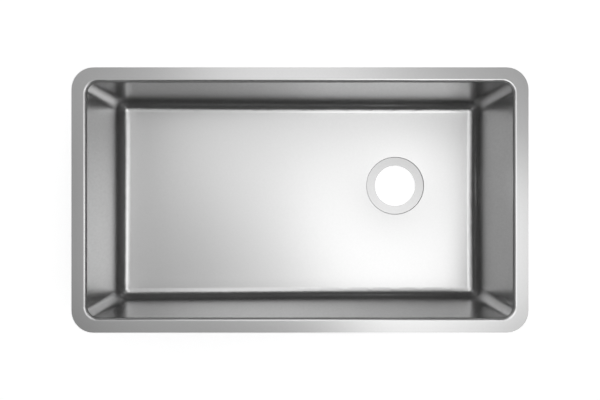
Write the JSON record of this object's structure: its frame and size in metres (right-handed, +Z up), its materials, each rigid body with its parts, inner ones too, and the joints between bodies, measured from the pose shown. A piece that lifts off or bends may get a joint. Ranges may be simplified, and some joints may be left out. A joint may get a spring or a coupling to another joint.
{
  "type": "undermount kitchen sink",
  "caption": "Undermount kitchen sink of satin stainless steel: flat flange, upright walls, and a floor that falls to an off-centre recessed drain hole, with sound pads and a sprayed undercoat.",
  "frame": {"origin": "centre of the bowl's mouth, in the plane of the flange's top face, which meets the underside of the worktop", "axes": "+X to the right along the long side, +Y to the rear, +Z up out of the bowl; the drain is at the right, a little to the rear of the middle"},
  "size_m": [0.7874, 0.4572, 0.2332],
  "materials": {
    "satin_steel": "fine satin",
    "undercoat": "sprayed, fine pebbled",
    "sound_pad": "matt"
  },
  "bodies": {
    "root": {"bowl": "satin_steel", "undercoat": "undercoat", "left_wall_pad": "sound_pad", "right_wall_pad": "sound_pad", "front_left_wall_pad": "sound_pad", "front_right_wall_pad": "sound_pad", "rear_left_wall_pad": "sound_pad", "rear_right_wall_pad": "sound_pad", "main_floor_pad": "sound_pad", "drain_floor_pad": "sound_pad"}
  },
  "joints": []
}
